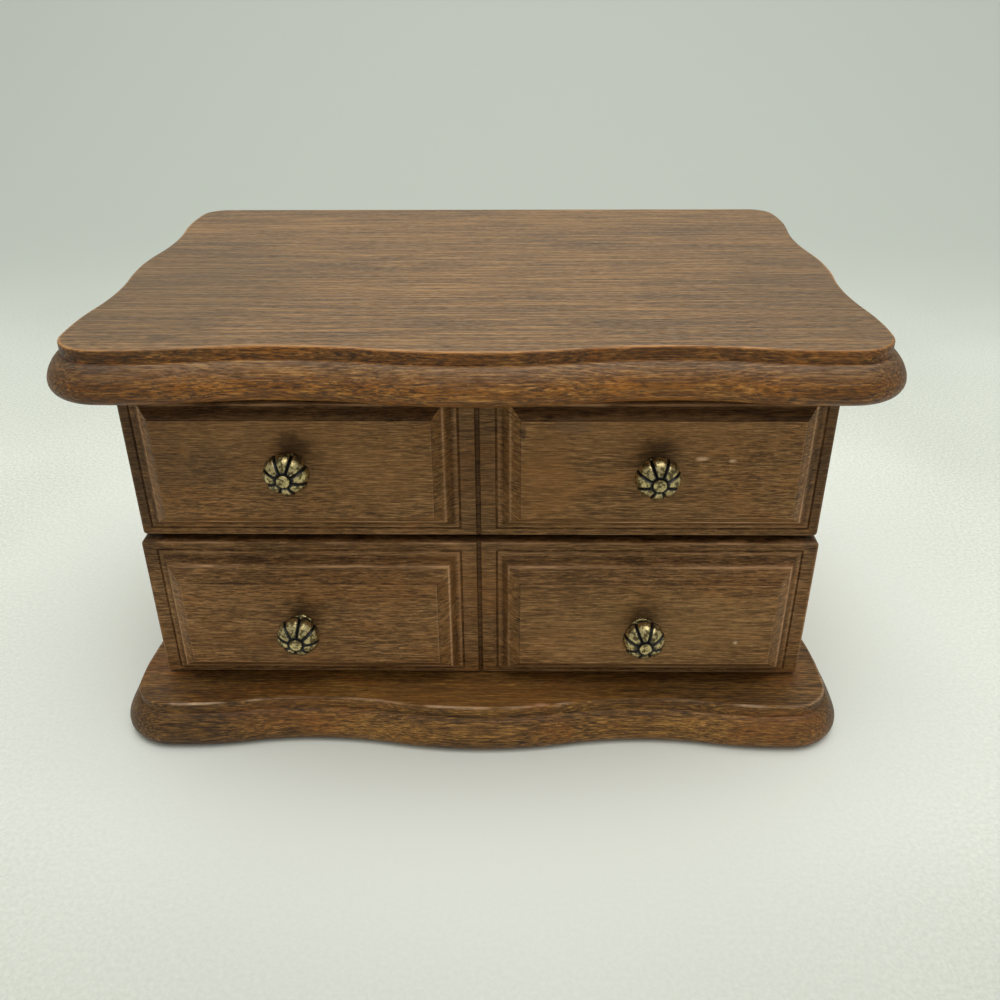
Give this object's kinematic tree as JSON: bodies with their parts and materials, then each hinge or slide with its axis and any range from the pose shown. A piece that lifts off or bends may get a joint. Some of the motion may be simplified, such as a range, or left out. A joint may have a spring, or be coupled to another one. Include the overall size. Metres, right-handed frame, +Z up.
{
  "type": "jewelry chest",
  "caption": "Small wooden jewelry chest with a serpentine moulded top and base and full-width drawers that slide forward, each with raised panels and melon-shaped brass knobs.",
  "frame": {"origin": "on the floor under the middle of the chest, at the bottom centre of its bounding box", "axes": "+Z up, +X along the width to the right as seen from the front, the drawers open towards -Y"},
  "size_m": [0.28, 0.202, 0.16],
  "materials": {
    "walnut_moulded": "satin walnut stain, worn pale on its arrises",
    "walnut_case": "satin walnut stain",
    "walnut_front": "satin walnut stain, straight grain along the front",
    "pale_wood": "bare, smooth",
    "plywood": "thin panel, matt",
    "felt": "matt felt",
    "antique_brass": "antiqued, blackened in the grooves",
    "pin_brass": "dull",
    "screw_steel": "zinc plated"
  },
  "bodies": {
    "chest": {"base_board": "walnut_moulded", "top_board": "walnut_moulded", "side_left": "walnut_case", "side_right": "walnut_case", "drawer_divider": "walnut_case", "back_panel": "plywood", "base_screws": "screw_steel", "top_dowels": "pale_wood", "back_pins": "pin_brass"},
    "upper_drawer": {"upper_drawer_front": "walnut_front", "upper_drawer_side_left": "pale_wood", "upper_drawer_side_right": "pale_wood", "upper_drawer_back": "pale_wood", "upper_drawer_floor": "pale_wood", "upper_drawer_felt": "felt", "upper_knob_left": "antique_brass", "upper_knob_right": "antique_brass", "upper_knob_screws": "screw_steel"},
    "lower_drawer": {"lower_drawer_front": "walnut_front", "lower_drawer_side_left": "pale_wood", "lower_drawer_side_right": "pale_wood", "lower_drawer_back": "pale_wood", "lower_drawer_floor": "pale_wood", "lower_drawer_felt": "felt", "lower_knob_left": "antique_brass", "lower_knob_right": "antique_brass", "lower_knob_screws": "screw_steel"}
  },
  "joints": [
    {"name": "upper_drawer_slide", "type": "slide", "parent": "chest", "child": "upper_drawer", "axis": [0, -1, 0], "range_m": [0, 0.105]},
    {"name": "lower_drawer_slide", "type": "slide", "parent": "chest", "child": "lower_drawer", "axis": [0, -1, 0], "range_m": [-0.0025, 0.105]}
  ]
}
